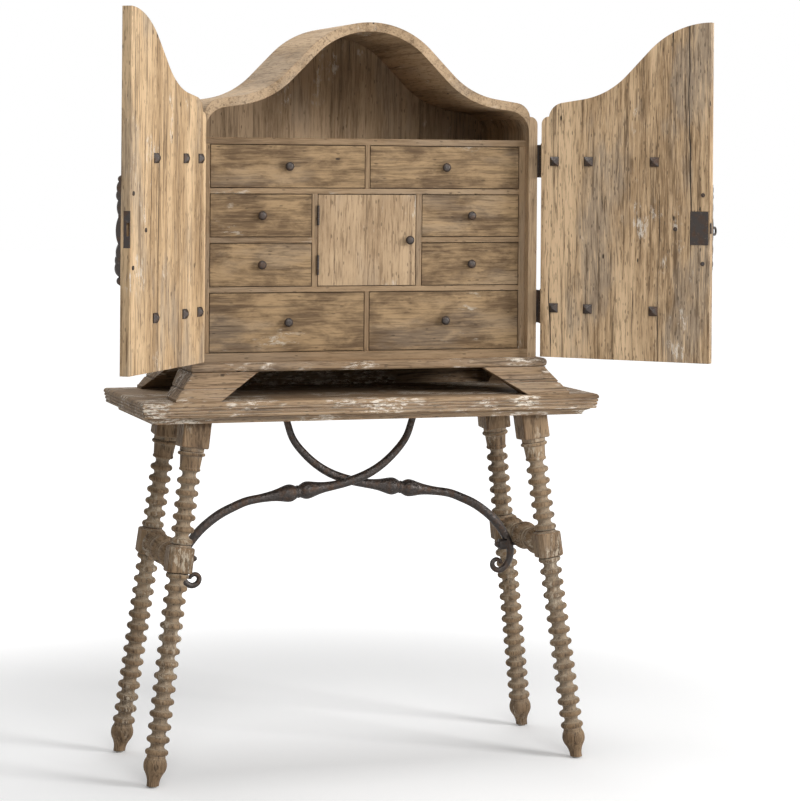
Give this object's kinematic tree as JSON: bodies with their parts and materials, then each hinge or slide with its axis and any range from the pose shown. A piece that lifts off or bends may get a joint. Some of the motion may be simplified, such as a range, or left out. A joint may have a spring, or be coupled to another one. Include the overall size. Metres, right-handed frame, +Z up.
{
  "type": "vargueno cabinet on stand",
  "caption": "Arched cabinet with shaped doors over small drawers and an inner cupboard, on a splayed stand with bobbin-turned legs and crossed iron braces.",
  "frame": {"origin": "on the floor under the middle of the overall bounding box, doors standing open", "axes": "+Z up, +X to the cabinet's right as seen from the front, -Y out of the front"},
  "size_m": [1.3458, 0.6684, 1.6102],
  "materials": {
    "stand_oak": "weathered, limed, matt",
    "turned_oak": "weathered, limed, matt",
    "case_oak": "weathered, limed, matt",
    "door_oak": "weathered, limed, matt",
    "drawer_oak": "weathered, limed, matt",
    "dark_iron": "forged, hammered, waxed",
    "glide_plastic": "matt"
  },
  "bodies": {
    "stand_and_case": {"stand_top": "stand_oak", "stand_moulding": "stand_oak", "leg_glides": "glide_plastic", "brace_front": "dark_iron", "brace_back": "dark_iron", "brace_bolts": "dark_iron", "brace_plates": "dark_iron", "base_moulding": "case_oak", "bracket_feet": "case_oak", "case_bottom": "case_oak", "roof_arch": "case_oak", "back_panel": "case_oak", "unit_sides": "case_oak", "uprights": "case_oak", "short_shelves": "case_oak", "centre_dividers": "case_oak", "unit_top": "case_oak", "shelf_upper": "case_oak", "shelf_lower": "case_oak", "inner_hinge_frame_leaves": "dark_iron", "case_hinge_leaves": "dark_iron", "leg_front_left": "turned_oak", "leg_back_left": "turned_oak", "stretcher_left": "turned_oak", "case_side_left": "case_oak", "leg_front_right": "turned_oak", "leg_back_right": "turned_oak", "stretcher_right": "turned_oak", "case_side_right": "case_oak"},
    "door_left": {"door_left": "door_oak", "straps_left": "dark_iron", "strap_bolts_left": "dark_iron", "escutcheon_left": "dark_iron", "strike_plate": "dark_iron"},
    "door_right": {"door_right": "door_oak", "straps_right": "dark_iron", "strap_bolts_right": "dark_iron", "escutcheon_right": "dark_iron", "lock_case": "dark_iron"},
    "lock_bolt": {"lock_bolt": "dark_iron"},
    "key": {"key": "dark_iron"},
    "inner_door": {"inner_door": "drawer_oak", "inner_door_knob": "dark_iron", "inner_hinge_door_leaves": "dark_iron"},
    "drawer_top_left": {"drawer_top_left": "drawer_oak", "knob_top_left": "dark_iron"},
    "drawer_upper_left": {"drawer_upper_left": "drawer_oak", "knob_upper_left": "dark_iron"},
    "drawer_lower_left": {"drawer_lower_left": "drawer_oak", "knob_lower_left": "dark_iron"},
    "drawer_bottom_left": {"drawer_bottom_left": "drawer_oak", "knob_bottom_left": "dark_iron"},
    "drawer_top_right": {"drawer_top_right": "drawer_oak", "knob_top_right": "dark_iron"},
    "drawer_upper_right": {"drawer_upper_right": "drawer_oak", "knob_upper_right": "dark_iron"},
    "drawer_lower_right": {"drawer_lower_right": "drawer_oak", "knob_lower_right": "dark_iron"},
    "drawer_bottom_right": {"drawer_bottom_right": "drawer_oak", "knob_bottom_right": "dark_iron"}
  },
  "joints": [
    {"name": "door_left_hinge", "type": "hinge", "parent": "stand_and_case", "child": "door_left", "pos_m": [-0.43291, -0.00775, 1.313], "axis": [0, 0, -1], "range_deg": [-126.7, 53.3]},
    {"name": "door_right_hinge", "type": "hinge", "parent": "stand_and_case", "child": "door_right", "pos_m": [0.34969, -0.00775, 1.313], "axis": [0, 0, 1], "range_deg": [-136.1, 43.9]},
    {"name": "inner_door_hinge", "type": "hinge", "parent": "stand_and_case", "child": "inner_door", "pos_m": [-0.15327, 0.03185, 1.1924], "axis": [0, 0, -1], "range_deg": [0, 90]},
    {"name": "key_turn", "type": "hinge", "parent": "door_right", "child": "key", "pos_m": [0.61615, -0.26792, 1.165], "axis": [0.6934, 0.7206, 0], "range_deg": [-36, 54]},
    {"name": "lock_bolt_slide", "type": "slide", "parent": "door_right", "child": "lock_bolt", "axis": [0.7206, -0.6934, 0], "range_m": [-0.004, 0.006]},
    {"name": "drawer_top_left_slide", "type": "slide", "parent": "stand_and_case", "child": "drawer_top_left", "axis": [0, -1, 0], "range_m": [0, 0.18]},
    {"name": "drawer_upper_left_slide", "type": "slide", "parent": "stand_and_case", "child": "drawer_upper_left", "axis": [0, -1, 0], "range_m": [0, 0.18]},
    {"name": "drawer_lower_left_slide", "type": "slide", "parent": "stand_and_case", "child": "drawer_lower_left", "axis": [0, -1, 0], "range_m": [0, 0.18]},
    {"name": "drawer_bottom_left_slide", "type": "slide", "parent": "stand_and_case", "child": "drawer_bottom_left", "axis": [0, -1, 0], "range_m": [0, 0.18]},
    {"name": "drawer_top_right_slide", "type": "slide", "parent": "stand_and_case", "child": "drawer_top_right", "axis": [0, -1, 0], "range_m": [0, 0.18]},
    {"name": "drawer_upper_right_slide", "type": "slide", "parent": "stand_and_case", "child": "drawer_upper_right", "axis": [0, -1, 0], "range_m": [0, 0.18]},
    {"name": "drawer_lower_right_slide", "type": "slide", "parent": "stand_and_case", "child": "drawer_lower_right", "axis": [0, -1, 0], "range_m": [0, 0.18]},
    {"name": "drawer_bottom_right_slide", "type": "slide", "parent": "stand_and_case", "child": "drawer_bottom_right", "axis": [0, -1, 0], "range_m": [0, 0.18]}
  ],
  "couplings": [
    {"joint": "lock_bolt_slide", "follows": "key_turn", "m_per_rad": 0.0063661}
  ]
}
